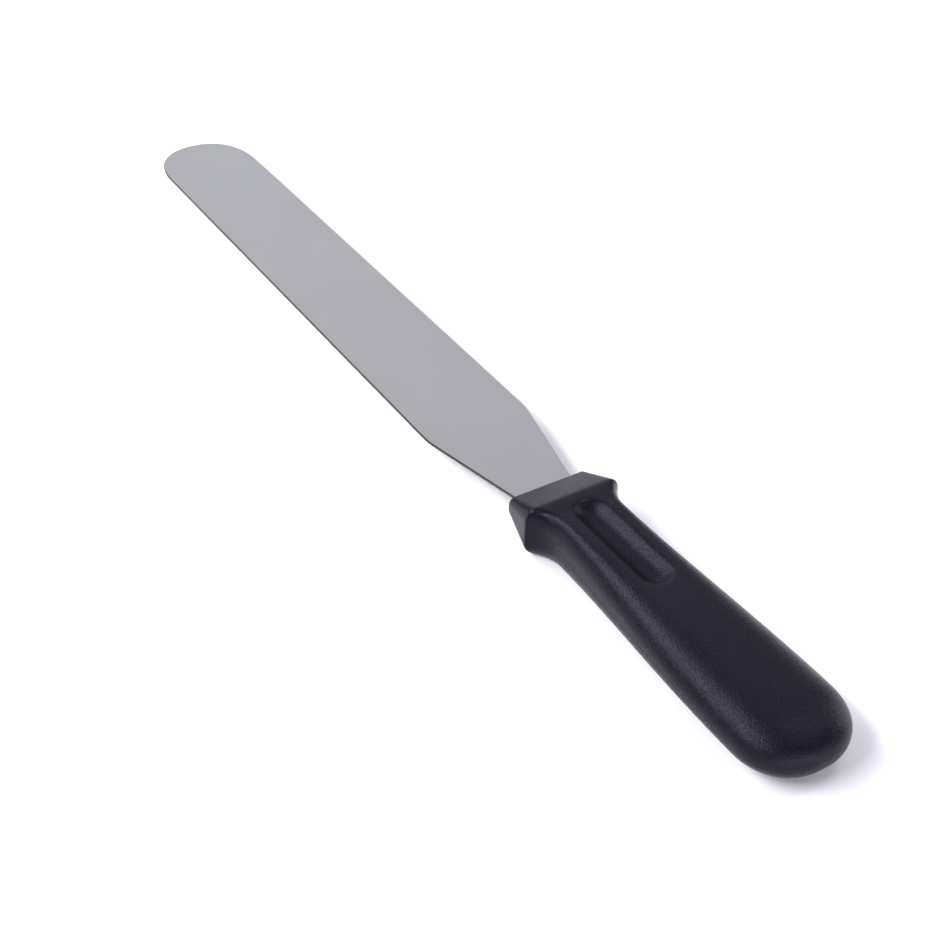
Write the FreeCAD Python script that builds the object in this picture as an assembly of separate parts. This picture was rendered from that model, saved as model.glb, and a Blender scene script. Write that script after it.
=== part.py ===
import FreeCAD, Part

import math
import os

# Straight icing spatula: a flat, round-ended steel blade whose hidden tang is moulded
# into a solid plastic handle. Millimetres. +X runs from the handle to the blade's tip,
# +Z is up with the blade lying flat, and the origin is under the middle of the whole
# knife, level with the underside of the handle.

# Blade
BLADE_LENGTH = 250.0         # handle's front face to the tip
BLADE_WIDTH = 35.0
BLADE_THICKNESS = 1.0
TIP_LENGTH = 22.0            # the rounded end, longer than half the width
TIP_FULLNESS = 2.25          # exponent of the tip's superellipse, 2 is an ellipse
NECK_LENGTH = 37.3           # taper between the parallel blade and the handle
NECK_WIDTH = 18.4            # steel width where it enters the handle
SHOULDER_RADIUS = 25.0       # eases the corner between blade and taper
EDGE_RADIUS = 0.3            # tumbled edge all round the steel

# Tang, hidden in the handle
TANG_LENGTH = 85.0
TANG_END_WIDTH = 12.0
LOCK_HOLE_RADIUS = 2.5
LOCK_HOLES = (21.0, 47.0, 73.0)    # behind the handle's front face

# Handle: distances s run back from its front face
HANDLE_LENGTH = 118.0
FRONT_HALF_WIDTH = 13.1
FRONT_HALF_HEIGHT = 2.9
RIDGE_AT = 12.4              # the bolster's largest section
RIDGE_HALF_WIDTH = 15.8
HALF_THICKNESS = 8.2         # level from the ridge to the butt
FACING = 0.03                # taken off the crown of both faces to leave true flats
NECK_AT = 22.5               # end of the hollow sweep behind the bolster
NECK_HALF_WIDTH = 11.6
SWEEP = 2.4                  # how quickly the sweep leaves the ridge
SWELL = 1.5                  # how late the grip widens
GRIP_HALF_WIDTH = 16.3       # widest section, near the butt
GRIP_WIDEST_AT = 100.0
BUTT_PLAN_LENGTH = 16.5      # stretch over which the butt closes, seen from above
BUTT_SIDE_LENGTH = 18.0      # and seen from the side
BUTT_FULLNESS = 2.2

# Width of the rounded corner of the section, crisp at the bolster, soft at the butt
FRONT_CORNER = 1.6
RIDGE_CORNER = 3.7
NECK_CORNER = 3.8
BUTT_CORNER = 12.5

# Share of the half height that the rounded corner takes; the rest is an upright side
FRONT_CORNER_SHARE = 0.7
RIDGE_CORNER_SHARE = 0.55
NECK_CORNER_SHARE = 0.75
BUTT_CORNER_SHARE = 0.95

# Thumb hollow, sloping walls round a rounded bottom, the same on top and on the underside
HOLLOW_START = 16.0
HOLLOW_END = 54.8
HOLLOW_HALF_WIDTH = 5.2
HOLLOW_WALL_SLOPE = 37.0     # degrees
HOLLOW_BOTTOM_RADIUS = 5.0

FRONT_X = (HANDLE_LENGTH - BLADE_LENGTH) / 2.0
TIP_X = FRONT_X + BLADE_LENGTH
MID_Z = HALF_THICKNESS


def vec(x, y, z=0.0):
    return FreeCAD.Vector(x, y, z)


# ---------------------------------------------------------------- blade

def tip_edge():
    """Rounded end of the blade as one smooth curve from its +Y to its -Y side."""
    steps = 24
    points = []
    for i in range(steps + 1):
        angle = math.pi / 2.0 - math.pi * i / steps
        along = abs(math.cos(angle)) ** (2.0 / TIP_FULLNESS)
        across = math.copysign(abs(math.sin(angle)) ** (2.0 / TIP_FULLNESS), math.sin(angle))
        points.append(vec(TIP_X - TIP_LENGTH + TIP_LENGTH * along, across * BLADE_WIDTH / 2.0))
    curve = Part.BSplineCurve()
    curve.interpolate(Points=points, InitialTangent=vec(1, 0), FinalTangent=vec(-1, 0))
    return curve.toShape()


def eased_corner(before, corner, after, radius):
    """Tangent arc that eases a corner, and the two points where it starts and ends."""
    u = (before - corner).normalize()
    v = (after - corner).normalize()
    half = u.getAngle(v) / 2.0
    reach = radius / math.tan(half)
    start = corner + u * reach
    end = corner + v * reach
    bisector = (u + v).normalize()
    middle = corner + bisector * (radius / math.sin(half) - radius)
    return start, Part.Arc(start, middle, end).toShape(), end


def blade_side(side):
    """Edges of one long side, from the tip's end to the tang's end; side is 1 or -1."""
    wide = side * BLADE_WIDTH / 2.0
    tip = vec(TIP_X - TIP_LENGTH, wide)
    shoulder = vec(FRONT_X + NECK_LENGTH, wide)
    neck = vec(FRONT_X, side * NECK_WIDTH / 2.0)
    tang = vec(FRONT_X - TANG_LENGTH + TANG_END_WIDTH / 2.0, side * TANG_END_WIDTH / 2.0)
    start, arc, end = eased_corner(tip, shoulder, neck, SHOULDER_RADIUS)
    return [
        Part.LineSegment(tip, start).toShape(),
        arc,
        Part.LineSegment(end, neck).toShape(),
        Part.LineSegment(neck, tang).toShape(),
    ]


def tang_end():
    back = FRONT_X - TANG_LENGTH
    radius = TANG_END_WIDTH / 2.0
    return Part.Arc(vec(back + radius, radius), vec(back, 0), vec(back + radius, -radius)).toShape()


def make_blade():
    edges = [tip_edge(), tang_end()] + blade_side(1) + blade_side(-1)
    outline = Part.Wire(Part.__sortEdges__(edges))
    outline.translate(vec(0, 0, MID_Z - BLADE_THICKNESS / 2.0))
    steel = Part.Face(outline).extrude(vec(0, 0, BLADE_THICKNESS))
    rims = [e for e in steel.Edges if abs(e.BoundBox.ZLength) < 0.01]
    steel = steel.makeFillet(EDGE_RADIUS, rims)
    for s in LOCK_HOLES:
        hole = Part.makeCylinder(LOCK_HOLE_RADIUS, 2.0 * HALF_THICKNESS, vec(FRONT_X - s, 0))
        steel = steel.cut(hole)
    return steel


# ---------------------------------------------------------------- handle

def section(s, half_width, half_height, corner, corner_share):
    """Outline across the handle: flat top and bottom, upright sides, quarter ellipses between."""
    x = FRONT_X - s
    flat = half_width - corner
    upright = half_height * (1.0 - corner_share)
    quarters = []
    for y_sign, z_sign in ((1, 1), (1, -1), (-1, -1), (-1, 1)):
        level = vec(x, y_sign * flat, MID_Z + z_sign * half_height)
        control = vec(x, y_sign * half_width, MID_Z + z_sign * half_height)
        side = vec(x, y_sign * half_width, MID_Z + z_sign * upright)
        quarters.append([level, control, side] if y_sign == z_sign else [side, control, level])
    edges = []
    for poles, following in zip(quarters, quarters[1:] + quarters[:1]):
        quarter = Part.BezierCurve()
        quarter.setPoles(poles)
        quarter.setWeight(2, math.sqrt(0.5))
        edges.append(quarter.toShape())
        edges.append(Part.LineSegment(poles[-1], following[0]).toShape())
    return Part.Wire(edges)


def closing(left, length):
    """Factor that closes a profile round over the last stretch before the butt's end."""
    u = 1.0 - min(left / length, 1.0)
    return (1.0 - u ** BUTT_FULLNESS) ** (1.0 / BUTT_FULLNESS)


def blend(start, end, t):
    return start + (end - start) * t


def grip_section(s):
    """Section behind the bolster ridge: hollow sweep, widening grip, round butt."""
    if s < NECK_AT:
        t = (NECK_AT - s) / (NECK_AT - RIDGE_AT)
        width = blend(NECK_HALF_WIDTH, RIDGE_HALF_WIDTH, t ** SWEEP)
        corner = blend(NECK_CORNER, RIDGE_CORNER, t)
        share = blend(NECK_CORNER_SHARE, RIDGE_CORNER_SHARE, t)
    else:
        t = min((s - NECK_AT) / (GRIP_WIDEST_AT - NECK_AT), 1.0)
        swell = math.sin(math.pi / 2.0 * t) ** SWELL
        width = blend(NECK_HALF_WIDTH, GRIP_HALF_WIDTH, swell)
        corner = blend(NECK_CORNER, BUTT_CORNER, swell)
        share = blend(NECK_CORNER_SHARE, BUTT_CORNER_SHARE, swell)
    left = HANDLE_LENGTH - s
    plan = closing(left, BUTT_PLAN_LENGTH)
    height = (HALF_THICKNESS + FACING) * closing(left, BUTT_SIDE_LENGTH)
    return section(s, width * plan, height, corner * plan, share)


def make_bolster():
    front = section(0.0, FRONT_HALF_WIDTH, FRONT_HALF_HEIGHT, FRONT_CORNER, FRONT_CORNER_SHARE)
    crest = HALF_THICKNESS + FACING
    ridge = section(RIDGE_AT, RIDGE_HALF_WIDTH, crest, RIDGE_CORNER, RIDGE_CORNER_SHARE)
    return Part.makeLoft([front, ridge], True, True)


def make_grip():
    stations = [RIDGE_AT, 14.0, 16.0, 19.0, NECK_AT, 30.0, 40.0, 52.0, 64.0, 76.0, 88.0]
    closing_from = stations[-1]
    steps = 10
    reach = HANDLE_LENGTH - closing_from - 0.02
    for i in range(1, steps + 1):
        stations.append(closing_from + reach * math.sin(math.pi / 2.0 * i / steps))
    return Part.makeLoft([grip_section(s) for s in stations], True, False)


def hollow_cutter():
    """Tool for the top thumb hollow: a straight run between two turned ends."""
    slope = math.radians(HOLLOW_WALL_SLOPE)
    foot = HOLLOW_BOTTOM_RADIUS * math.sin(slope)
    foot_rise = HOLLOW_BOTTOM_RADIUS * (1.0 - math.cos(slope))
    depth = foot_rise + (HOLLOW_HALF_WIDTH - foot) * math.tan(slope)
    bottom = MID_Z + HALF_THICKNESS - depth
    clearance = 2.0
    top = MID_Z + HALF_THICKNESS + clearance
    top_half_width = HOLLOW_HALF_WIDTH + clearance / math.tan(slope)

    def profile(x):
        """Cross-section of the tool at x, from its axis to its +Y side."""
        low = vec(x, 0, bottom)
        halfway = vec(
            x,
            HOLLOW_BOTTOM_RADIUS * math.sin(slope / 2.0),
            bottom + HOLLOW_BOTTOM_RADIUS * (1.0 - math.cos(slope / 2.0)),
        )
        wall_foot = vec(x, foot, bottom + foot_rise)
        outer = vec(x, top_half_width, top)
        inner = vec(x, 0, top)
        edges = [Part.Arc(low, halfway, wall_foot).toShape()]
        for start, end in ((wall_foot, outer), (outer, inner), (inner, low)):
            edges.append(Part.LineSegment(start, end).toShape())
        return Part.Face(Part.Wire(edges))

    front = FRONT_X - HOLLOW_START - HOLLOW_HALF_WIDTH
    back = FRONT_X - HOLLOW_END + HOLLOW_HALF_WIDTH
    half_run = profile(back).extrude(vec(front - back, 0))
    pieces = [half_run, half_run.mirror(vec(0, 0), vec(0, 1))]
    for x in (front, back):
        pieces.append(profile(x).revolve(vec(x, 0), vec(0, 0, 1), 360))
    return pieces[0].fuse(pieces[1:]).removeSplitter()


def facing_slab():
    """Block between the two flat faces of the handle."""
    margin = 5.0
    width = 2.0 * (GRIP_HALF_WIDTH + margin)
    corner = vec(FRONT_X - HANDLE_LENGTH - margin, -width / 2.0, MID_Z - HALF_THICKNESS)
    return Part.makeBox(HANDLE_LENGTH + 2.0 * margin, width, 2.0 * HALF_THICKNESS, corner)


def make_handle(steel):
    body = make_bolster().fuse(make_grip()).common(facing_slab())
    top_hollow = hollow_cutter()
    underside_hollow = top_hollow.mirror(vec(0, 0, MID_Z), vec(0, 0, 1))
    body = body.cut(top_hollow).cut(underside_hollow)
    return body.cut(steel)


def main():
    os.makedirs("parts", exist_ok=True)
    blade = make_blade()
    handle = make_handle(blade)
    for name, shape in (("blade", blade), ("handle", handle)):
        print(name, shape.isValid(), len(shape.Solids), round(shape.Volume), shape.BoundBox)
        shape.exportStep("parts/" + name + ".step")


main()
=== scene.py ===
import math

import bmesh
import bpy
import numpy as np
from mathutils import Matrix, Vector


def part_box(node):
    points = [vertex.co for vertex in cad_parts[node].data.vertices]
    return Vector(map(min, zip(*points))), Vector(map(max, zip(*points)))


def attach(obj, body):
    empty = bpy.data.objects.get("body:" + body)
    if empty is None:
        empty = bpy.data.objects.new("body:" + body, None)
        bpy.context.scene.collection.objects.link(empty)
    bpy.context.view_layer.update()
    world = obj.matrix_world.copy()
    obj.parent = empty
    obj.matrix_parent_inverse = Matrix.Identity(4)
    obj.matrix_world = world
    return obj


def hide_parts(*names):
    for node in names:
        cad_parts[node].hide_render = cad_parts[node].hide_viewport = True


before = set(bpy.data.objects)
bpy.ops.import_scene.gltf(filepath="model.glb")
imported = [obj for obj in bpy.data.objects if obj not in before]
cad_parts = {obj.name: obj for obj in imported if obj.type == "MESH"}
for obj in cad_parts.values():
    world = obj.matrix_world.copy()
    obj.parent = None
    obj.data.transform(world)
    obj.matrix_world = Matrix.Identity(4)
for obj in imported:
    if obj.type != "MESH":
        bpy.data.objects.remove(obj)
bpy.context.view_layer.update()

# ------------------------------------------------------------------ sizes, in metres
# Distances s run back from the handle's front face, as in the design.
handle_low, handle_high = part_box("handle")
FRONT_X = handle_high.x
HANDLE_LENGTH = FRONT_X - handle_low.x
HALF_THICKNESS = (handle_high.z - handle_low.z) / 2
MID_Z = (handle_high.z + handle_low.z) / 2

FRONT_HALF_WIDTH, FRONT_HALF_HEIGHT, FRONT_CORNER, FRONT_CORNER_SHARE = 0.0131, 0.0029, 0.0016, 0.7
RIDGE_AT, RIDGE_HALF_WIDTH, RIDGE_CORNER, RIDGE_CORNER_SHARE = 0.0124, 0.0158, 0.0037, 0.55
NECK_AT, NECK_HALF_WIDTH, NECK_CORNER, NECK_CORNER_SHARE = 0.0225, 0.0116, 0.0038, 0.75
GRIP_WIDEST_AT, GRIP_HALF_WIDTH, BUTT_CORNER, BUTT_CORNER_SHARE = 0.1, 0.0163, 0.0125, 0.95
SWEEP, SWELL = 2.4, 1.5
BUTT_PLAN_LENGTH, BUTT_SIDE_LENGTH, BUTT_FULLNESS = 0.0165, 0.018, 2.2
HOLLOW_START, HOLLOW_END, HOLLOW_HALF_WIDTH = 0.016, 0.0548, 0.0052
HOLLOW_WALL_SLOPE, HOLLOW_BOTTOM_RADIUS = math.radians(37), 0.005

CREASE_SOFTNESS = 0.0003      # rounding of the bolster's ridge
RIM_SOFTNESS = 0.0004         # rounding of the hollow's rim
FACE_SOFTNESS = 0.00035       # rounding of the bolster's front edge

FLAT_CELLS = 80               # mesh cells across each flat face
CORNER_CELLS = 14             # round each quarter of the corners
SIDE_CELLS = 8                # and up each upright side

# Mesh rings from front to butt: how many in each stretch, or how far apart
FACE_RINGS, BEVEL_RINGS, RIDGE_RINGS, GRIP_RINGS, BUTT_RINGS = 5, 22, 25, 50, 48
RIDGE_REACH, RIDGE_CROWDING = 0.002, 3
HOLLOW_RING_STEP, HOLLOW_RINGS_END = 0.0004, 0.058

WELD = 0.000001               # the cavity's cut leaves points closer together than this
SHARP_ANGLE = math.radians(40)


# ------------------------------------------------------------------ handle

def soft_min(a, b, softness):
    """The smaller of two values, rounded over where they meet."""
    return 0.5 * (a + b - np.sqrt((a - b) ** 2 + softness ** 2))


def closing(left, length):
    """Factor that closes a profile round over the last stretch before the butt's end."""
    u = 1.0 - min(left / length, 1.0)
    return (1.0 - u ** BUTT_FULLNESS) ** (1.0 / BUTT_FULLNESS)


def blend(start, end, t):
    return start + (end - start) * t


def section_sizes(s):
    """Half width, half height, corner width and upright half height of the handle at s."""
    t = s / RIDGE_AT
    front_width = blend(FRONT_HALF_WIDTH, RIDGE_HALF_WIDTH, t)
    front_height = blend(FRONT_HALF_HEIGHT, HALF_THICKNESS, t)
    front_upright = FRONT_HALF_HEIGHT * (1 - FRONT_CORNER_SHARE)
    ridge_upright = HALF_THICKNESS * (1 - RIDGE_CORNER_SHARE)
    if s < NECK_AT:
        back = (NECK_AT - s) / (NECK_AT - RIDGE_AT)
        rear_width = blend(NECK_HALF_WIDTH, RIDGE_HALF_WIDTH, back ** SWEEP)
        corner = blend(NECK_CORNER, RIDGE_CORNER, back)
        share = blend(NECK_CORNER_SHARE, RIDGE_CORNER_SHARE, back)
    else:
        way = min((s - NECK_AT) / (GRIP_WIDEST_AT - NECK_AT), 1.0)
        swell = math.sin(math.pi / 2 * way) ** SWELL
        rear_width = blend(NECK_HALF_WIDTH, GRIP_HALF_WIDTH, swell)
        corner = blend(NECK_CORNER, BUTT_CORNER, swell)
        share = blend(NECK_CORNER_SHARE, BUTT_CORNER_SHARE, swell)
    width = soft_min(front_width, rear_width, CREASE_SOFTNESS)
    height = soft_min(front_height, HALF_THICKNESS, CREASE_SOFTNESS)
    upright = HALF_THICKNESS * (1 - share)
    if s < RIDGE_AT:
        corner = blend(FRONT_CORNER, RIDGE_CORNER, t)
        upright = blend(front_upright, ridge_upright, t)
    left = HANDLE_LENGTH - s
    plan = closing(left, BUTT_PLAN_LENGTH)
    side = closing(left, BUTT_SIDE_LENGTH)
    return width * plan, height * side, corner * plan, upright * side


def hollow_height(s, y):
    """Height above the middle of the thumb hollow's sloping walls and rounded bottom."""
    foot = HOLLOW_BOTTOM_RADIUS * math.sin(HOLLOW_WALL_SLOPE)
    foot_rise = HOLLOW_BOTTOM_RADIUS * (1 - math.cos(HOLLOW_WALL_SLOPE))
    depth = foot_rise + (HOLLOW_HALF_WIDTH - foot) * math.tan(HOLLOW_WALL_SLOPE)
    nearest = np.clip(s, HOLLOW_START + HOLLOW_HALF_WIDTH, HOLLOW_END - HOLLOW_HALF_WIDTH)
    out = np.hypot(s - nearest, y)
    bottom = HOLLOW_BOTTOM_RADIUS - np.sqrt(HOLLOW_BOTTOM_RADIUS ** 2 - np.minimum(out, foot) ** 2)
    wall = np.maximum(out - foot, 0) * math.tan(HOLLOW_WALL_SLOPE)
    return HALF_THICKNESS - depth + bottom + wall


def section_ring(s, width, height, corner, upright):
    """Points round the handle at s: top flat, right side, bottom flat, left side."""
    flat = width - corner
    turn = np.linspace(0, math.pi / 2, CORNER_CELLS + 1)
    across = np.linspace(-flat, flat, FLAT_CELLS + 1)
    corner_y = flat + corner * np.sin(turn)
    corner_z = upright + (height - upright) * np.cos(turn)
    side_z = np.linspace(upright, -upright, SIDE_CELLS + 1)[1:-1]
    right_y = np.concatenate([corner_y[1:], np.full_like(side_z, width), corner_y[:0:-1]])
    right_z = np.concatenate([corner_z[1:], side_z, -corner_z[:0:-1]])
    y = np.concatenate([across, right_y, across[::-1], -right_y[::-1]])
    top_z = np.full_like(across, height)
    z = np.concatenate([top_z, right_z, -top_z, right_z[::-1]])
    z = np.sign(z) * soft_min(np.abs(z), hollow_height(s, y), RIM_SOFTNESS)
    return np.column_stack([np.full_like(y, FRONT_X - s), y, MID_Z + z])


def handle_stations():
    """Places of the mesh rings, closest together at the ridge and where the butt closes."""
    crowded = np.sinh(np.linspace(-RIDGE_CROWDING, RIDGE_CROWDING, RIDGE_RINGS))
    near_ridge = RIDGE_AT + RIDGE_REACH * crowded / math.sinh(RIDGE_CROWDING)
    bevel = np.linspace(FACE_SOFTNESS, near_ridge[0], BEVEL_RINGS)[:-1]
    hollow = np.arange(near_ridge[-1], HOLLOW_RINGS_END, HOLLOW_RING_STEP)[1:]
    grip = np.linspace(HOLLOW_RINGS_END, HANDLE_LENGTH - BUTT_SIDE_LENGTH, GRIP_RINGS)
    angle = np.linspace(0, math.pi / 2, BUTT_RINGS)[1:-1]
    butt = HANDLE_LENGTH - BUTT_SIDE_LENGTH * (1 - np.sin(angle))
    return np.concatenate([bevel, near_ridge, hollow, grip, butt])


def handle_mesh():
    """The outside of the moulding: rings from the rounded front edge to the butt, capped."""
    rings = []
    for i in range(FACE_RINGS):
        angle = math.pi / 2 * i / FACE_RINGS
        inset = FACE_SOFTNESS * (1 - math.sin(angle))
        s = FACE_SOFTNESS * (1 - math.cos(angle))
        width, height, corner, upright = section_sizes(s)
        rings.append(section_ring(s, width - inset, height - inset, corner, upright))
    for s in handle_stations():
        rings.append(section_ring(s, *section_sizes(s)))
    count = len(rings[0])
    vertices = np.concatenate(rings)
    faces = []
    for row in range(len(rings) - 1):
        for i in range(count):
            j = (i + 1) % count
            a, b = row * count, (row + 1) * count
            faces.append((a + i, b + i, b + j, a + j))
    faces.append(tuple(range(count)))
    last = (len(rings) - 1) * count
    faces.append(tuple(last + i for i in reversed(range(count))))
    mesh = bpy.data.meshes.new("handle_moulding")
    mesh.from_pydata(vertices.tolist(), [], faces)
    mesh.validate()
    mesh.update()
    return mesh


def weld_slivers(mesh):
    """Close up the thin slivers that the cavity's cut leaves."""
    work = bmesh.new()
    work.from_mesh(mesh)
    bmesh.ops.remove_doubles(work, verts=work.verts[:], dist=WELD)
    bmesh.ops.dissolve_degenerate(work, edges=work.edges[:], dist=WELD)
    work.to_mesh(mesh)
    work.free()


def make_handle():
    """The moulded handle, with the tang's cavity cut out of it."""
    piece = bpy.data.objects.new("handle_moulding", handle_mesh())
    bpy.context.scene.collection.objects.link(piece)
    cut = piece.modifiers.new("tang_cavity", "BOOLEAN")
    cut.operation = "DIFFERENCE"
    cut.solver = "EXACT"
    cut.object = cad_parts["blade"]
    bpy.context.view_layer.update()
    evaluated = piece.evaluated_get(bpy.context.evaluated_depsgraph_get())
    solid = bpy.data.meshes.new_from_object(evaluated)
    piece.modifiers.clear()
    piece.data = solid
    weld_slivers(solid)
    solid.shade_smooth()
    solid.set_sharp_from_angle(angle=SHARP_ANGLE)
    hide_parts("handle")
    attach(piece, "root")
    return piece


# ------------------------------------------------------------------ materials

GRAIN_START, GRAIN_FULL = 0.002, 0.006    # behind the ridge
BOLSTER_GRAIN = 0.06                      # share of the grip's grain that the bolster has
BRUSHING_SCALE = (90.0, 4200.0, 4200.0)   # long strokes along the blade
# Painted shade: the blade's cut edges get a darker steel colour than its flats.
PAINTED_SHADE_EDGE_BRIGHTNESS = 0.2                     # of the cut edges, beside 1 on the flats
EDGE_FACING, FLAT_FACING = 0.8, 0.995     # how upright the normal is, at most and at least


def new_material(name):
    material = bpy.data.materials.new(name)
    material.use_nodes = True
    nodes = material.node_tree.nodes
    return material, nodes, material.node_tree.links, nodes["Principled BSDF"]


def add(nodes, kind, **values):
    """A shader node with its properties and inputs set by name."""
    node = nodes.new(kind)
    for name, value in values.items():
        if name in node.bl_rna.properties:
            setattr(node, name, value)
        else:
            node.inputs[name.replace("_", " ")].default_value = value
    return node


def plastic_material():
    """Black plastic with a moulded grain, which is only faint on the bolster."""
    material, nodes, links, shader = new_material("black_grained_plastic")
    place = nodes.new("ShaderNodeTexCoord").outputs["Object"]
    shader.inputs["IOR"].default_value = 1.46
    shader.inputs["Specular IOR Level"].default_value = 0.175
    shader.inputs["Specular Tint"].default_value = (0.83, 0.81, 1.0, 1)

    cells = add(nodes, "ShaderNodeTexVoronoi", feature="SMOOTH_F1", Scale=2700.0, Smoothness=0.5)
    fine = add(nodes, "ShaderNodeTexNoise", Scale=2800.0, Detail=2.0, Roughness=0.6)
    broad = add(nodes, "ShaderNodeTexNoise", Scale=60.0, Detail=3.0, Roughness=0.55)
    for texture in (cells, fine, broad):
        links.new(place, texture.inputs["Vector"])

    relief = add(nodes, "ShaderNodeMath", operation="ADD")
    links.new(cells.outputs["Distance"], relief.inputs[0])
    links.new(fine.outputs["Fac"], relief.inputs[1])

    split = nodes.new("ShaderNodeSeparateXYZ")
    links.new(place, split.inputs[0])
    grip = add(nodes, "ShaderNodeMapRange", interpolation_type="SMOOTHSTEP")
    grip.inputs["From Min"].default_value = FRONT_X - RIDGE_AT - GRAIN_START
    grip.inputs["From Max"].default_value = FRONT_X - RIDGE_AT - GRAIN_FULL
    grip.inputs["To Min"].default_value = BOLSTER_GRAIN
    grip.inputs["To Max"].default_value = 1.0
    links.new(split.outputs["X"], grip.inputs["Value"])

    bump = add(nodes, "ShaderNodeBump", Distance=0.00008)
    links.new(relief.outputs[0], bump.inputs["Height"])
    links.new(grip.outputs[0], bump.inputs["Strength"])
    links.new(bump.outputs[0], shader.inputs["Normal"])

    colour = nodes.new("ShaderNodeValToRGB")
    colour.color_ramp.elements[0].position = 0.3
    colour.color_ramp.elements[0].color = (0.0046, 0.0042, 0.0070, 1)
    colour.color_ramp.elements[1].position = 0.75
    colour.color_ramp.elements[1].color = (0.0062, 0.0057, 0.0092, 1)
    links.new(broad.outputs["Fac"], colour.inputs["Fac"])
    links.new(colour.outputs["Color"], shader.inputs["Base Color"])

    gloss = add(nodes, "ShaderNodeMapRange")
    gloss.inputs["From Min"].default_value = 0.35
    gloss.inputs["From Max"].default_value = 0.65
    gloss.inputs["To Min"].default_value = 0.18
    gloss.inputs["To Max"].default_value = 0.38
    links.new(fine.outputs["Fac"], gloss.inputs["Value"])
    links.new(gloss.outputs[0], shader.inputs["Roughness"])
    return material


def steel_material():
    """Satin steel, brushed along the blade and a little smudged, with painted shade on its cut
    edges.
    """
    material, nodes, links, shader = new_material("satin_steel")
    place = nodes.new("ShaderNodeTexCoord").outputs["Object"]
    shader.inputs["Metallic"].default_value = 1.0

    along = add(nodes, "ShaderNodeMapping")
    along.inputs["Scale"].default_value = BRUSHING_SCALE
    links.new(place, along.inputs["Vector"])
    brushing = add(nodes, "ShaderNodeTexNoise", Scale=1.0, Detail=4.0, Roughness=0.6)
    links.new(along.outputs[0], brushing.inputs["Vector"])
    smudge = add(nodes, "ShaderNodeTexNoise", Scale=28.0, Detail=4.0, Roughness=0.6)
    links.new(place, smudge.inputs["Vector"])

    bump = add(nodes, "ShaderNodeBump", Strength=0.25, Distance=0.00001)
    links.new(brushing.outputs["Fac"], bump.inputs["Height"])
    links.new(bump.outputs[0], shader.inputs["Normal"])

    gloss = add(nodes, "ShaderNodeMapRange")
    gloss.inputs["From Min"].default_value = 0.25
    gloss.inputs["From Max"].default_value = 0.75
    gloss.inputs["To Min"].default_value = 0.30
    gloss.inputs["To Max"].default_value = 0.40
    mixed = add(nodes, "ShaderNodeMath", operation="MULTIPLY_ADD")
    mixed.inputs[1].default_value = 0.5
    links.new(brushing.outputs["Fac"], mixed.inputs[0])
    half = add(nodes, "ShaderNodeMath", operation="MULTIPLY")
    half.inputs[1].default_value = 0.5
    links.new(smudge.outputs["Fac"], half.inputs[0])
    links.new(half.outputs[0], mixed.inputs[2])
    links.new(mixed.outputs[0], gloss.inputs["Value"])
    links.new(gloss.outputs[0], shader.inputs["Roughness"])

    colour = nodes.new("ShaderNodeValToRGB")
    colour.color_ramp.elements[0].position = 0.3
    colour.color_ramp.elements[0].color = (0.466, 0.479, 0.418, 1)
    colour.color_ramp.elements[1].position = 0.7
    colour.color_ramp.elements[1].color = (0.486, 0.499, 0.436, 1)
    links.new(mixed.outputs[0], colour.inputs["Fac"])

    # Painted shade on the cut edges: the colour is scaled down where the normal leans away from
    # upright.
    facing = nodes.new("ShaderNodeSeparateXYZ")
    links.new(nodes.new("ShaderNodeTexCoord").outputs["Normal"], facing.inputs[0])
    level = add(nodes, "ShaderNodeMath", operation="ABSOLUTE")
    links.new(facing.outputs["Z"], level.inputs[0])
    brightness = add(nodes, "ShaderNodeMapRange")     # painted shade: the cut edges are darkened by how far their normal leans from upright
    brightness.inputs["From Min"].default_value = EDGE_FACING
    brightness.inputs["From Max"].default_value = FLAT_FACING
    brightness.inputs["To Min"].default_value = PAINTED_SHADE_EDGE_BRIGHTNESS
    brightness.inputs["To Max"].default_value = 1.0
    links.new(level.outputs[0], brightness.inputs["Value"])
    shaded = add(nodes, "ShaderNodeVectorMath", operation="SCALE")
    links.new(colour.outputs["Color"], shaded.inputs[0])
    links.new(brightness.outputs[0], shaded.inputs["Scale"])
    links.new(shaded.outputs[0], shader.inputs["Base Color"])
    return material


def finish_blade():
    """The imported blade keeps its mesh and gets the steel."""
    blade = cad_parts["blade"]
    blade.data.materials.clear()
    blade.data.materials.append(steel_material())


# ------------------------------------------------------------------ stage, light and camera

FLOOR_HALF_SIDE = 8.0
FLOOR_GLOW = 0.05             # a weak light of its own, which keeps the floor white


def make_floor():
    side = FLOOR_HALF_SIDE
    mesh = bpy.data.meshes.new("floor")
    corners = [(-side, -side, 0), (side, -side, 0), (side, side, 0), (-side, side, 0)]
    mesh.from_pydata(corners, [], [(0, 1, 2, 3)])
    floor = bpy.data.objects.new("floor", mesh)
    bpy.context.scene.collection.objects.link(floor)
    material, _, _, shader = new_material("pale_floor")
    shader.inputs["Base Color"].default_value = (0.93, 0.94, 0.90, 1)
    shader.inputs["Emission Color"].default_value = (1.0, 1.0, 1.0, 1)
    shader.inputs["Emission Strength"].default_value = FLOOR_GLOW
    shader.inputs["Roughness"].default_value = 0.95
    shader.inputs["Specular IOR Level"].default_value = 0.1
    mesh.materials.append(material)


LIGHT_AIM = (-0.1, 0, 0.01)   # inside the handle
LIGHT_DISTANCE = 2.4
LIGHT_TINT = (1.0, 0.975, 1.10)
ROOM_TINT = (1.0, 0.97, 1.20)
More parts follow.
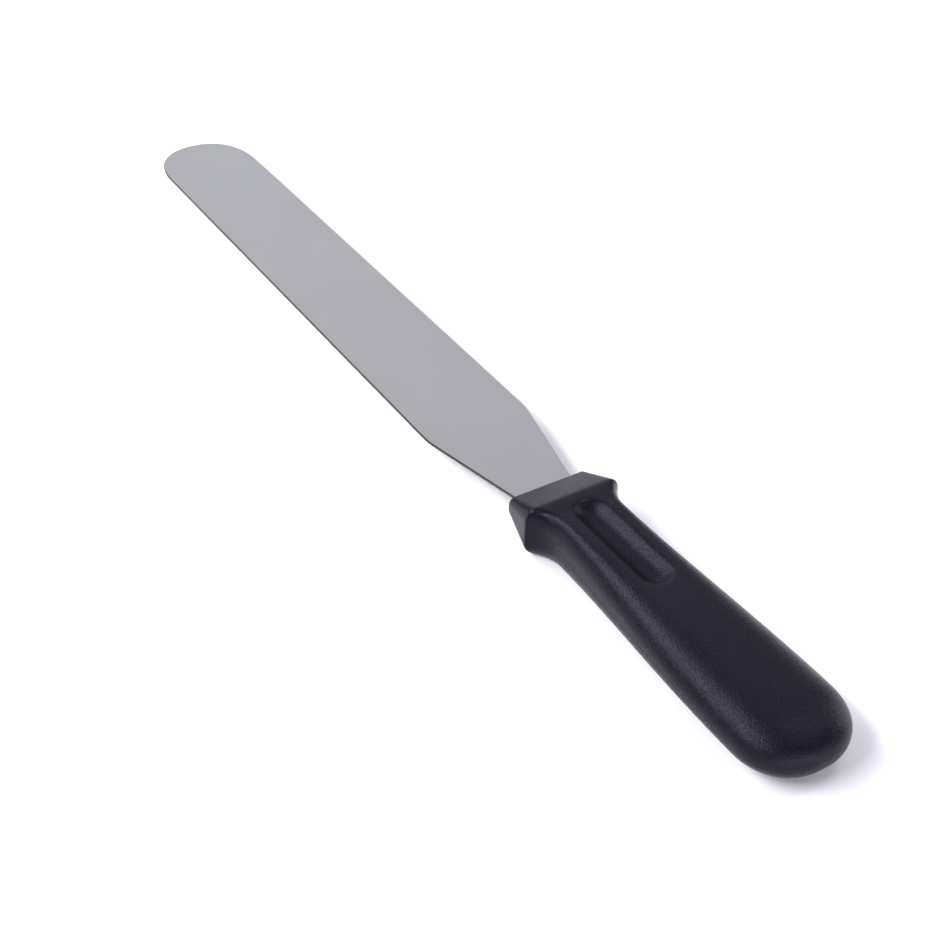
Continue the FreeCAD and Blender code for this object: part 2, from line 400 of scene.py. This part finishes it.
# Soft boxes: azimuth and elevation in degrees, width and height in metres, brightness
SOFT_BOXES = {
    "left_high": (75, 46, 1.6, 0.6, 15.5),
    "left_low": (27, 34, 0.93, 0.5, 10.5),
    "left_wide": (42, 36, 3.4, 0.5, 4.4),
    "right_high": (-93, 68, 0.83, 0.83, 4.5),
    "right_low": (-93, 15, 0.93, 1.6, 3.5),
    "behind_low": (177, 8, 5.0, 0.9, 4.8),
}
ROOM_BRIGHT_SIDE = (0.800, -0.373, 0.469)         # ahead of the camera and up
ROOM_DIM, ROOM_BRIGHT = 0.24, 1.02
ROOM_DIM_COSINE, ROOM_BRIGHT_COSINE = 0.78, 0.99  # of the angle from the bright side


def add_light(name, towards, width, height, power):
    """Rectangular light that faces LIGHT_AIM from the direction towards."""
    data = bpy.data.lights.new(name, "AREA")
    data.shape = "RECTANGLE"
    data.size = width
    data.size_y = height
    data.energy = power
    light = bpy.data.objects.new(name, data)
    bpy.context.scene.collection.objects.link(light)
    light.location = Vector(LIGHT_AIM) + towards * LIGHT_DISTANCE
    light.rotation_euler = towards.to_track_quat("Z", "Y").to_euler()
    light.visible_camera = False
    return light


def make_room():
    """A dim room with one bright side."""
    world = bpy.data.worlds.new("studio")
    bpy.context.scene.world = world
    world.use_nodes = True
    nodes, links = world.node_tree.nodes, world.node_tree.links
    direction = nodes.new("ShaderNodeTexCoord").outputs["Generated"]
    facing = add(nodes, "ShaderNodeVectorMath", operation="DOT_PRODUCT")
    facing.inputs[1].default_value = Vector(ROOM_BRIGHT_SIDE).normalized()
    links.new(direction, facing.inputs[0])
    level = add(nodes, "ShaderNodeMapRange", interpolation_type="SMOOTHSTEP")
    level.inputs["From Min"].default_value = ROOM_DIM_COSINE
    level.inputs["From Max"].default_value = ROOM_BRIGHT_COSINE
    level.inputs["To Min"].default_value = ROOM_DIM
    level.inputs["To Max"].default_value = ROOM_BRIGHT
    links.new(facing.outputs["Value"], level.inputs["Value"])
    links.new(level.outputs[0], nodes["Background"].inputs["Strength"])
    nodes["Background"].inputs["Color"].default_value = (*ROOM_TINT, 1)


def make_soft_boxes():
    """Soft boxes round the object, which light everything but the blade."""
    blade_left_out = bpy.data.collections.new("mirrors_the_room_only")
    blade_left_out.objects.link(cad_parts["blade"])
    blade_left_out.collection_objects[0].light_linking.link_state = "EXCLUDE"
    for name, (azimuth, elevation, width, height, brightness) in SOFT_BOXES.items():
        turn, rise = math.radians(azimuth), math.radians(elevation)
        across = math.cos(rise)
        towards = Vector((across * math.cos(turn), across * math.sin(turn), math.sin(rise)))
        light = add_light(name, towards, width, height, math.pi * brightness * width * height)
        light.data.color = LIGHT_TINT
        light.light_linking.receiver_collection = blade_left_out


CAMERA_AT = (-0.34457, 0.20555, 0.28558)
CAMERA_TARGET = (-0.04628, 0.01366, 0.0082)
CAMERA_ROLL = 1.5             # degrees
CAMERA_LENS = 59.36           # mm
CAMERA_SENSOR = 36.0          # mm


def make_camera():
    data = bpy.data.cameras.new("camera")
    data.sensor_width = CAMERA_SENSOR
    data.lens = CAMERA_LENS
    data.clip_start = 0.01
    camera = bpy.data.objects.new("camera", data)
    bpy.context.scene.collection.objects.link(camera)
    forward = Vector(CAMERA_TARGET) - Vector(CAMERA_AT)
    aim = forward.to_track_quat("-Z", "Y").to_matrix().to_4x4()
    roll = Matrix.Rotation(math.radians(CAMERA_ROLL), 4, "Z")
    camera.matrix_world = Matrix.Translation(CAMERA_AT) @ aim @ roll
    bpy.context.scene.camera = camera


# ------------------------------------------------------------------ build

bpy.context.scene.view_settings.view_transform = "Standard"
handle = make_handle()
handle.data.materials.clear()
handle.data.materials.append(plastic_material())
finish_blade()
make_floor()
make_room()
make_soft_boxes()
make_camera()
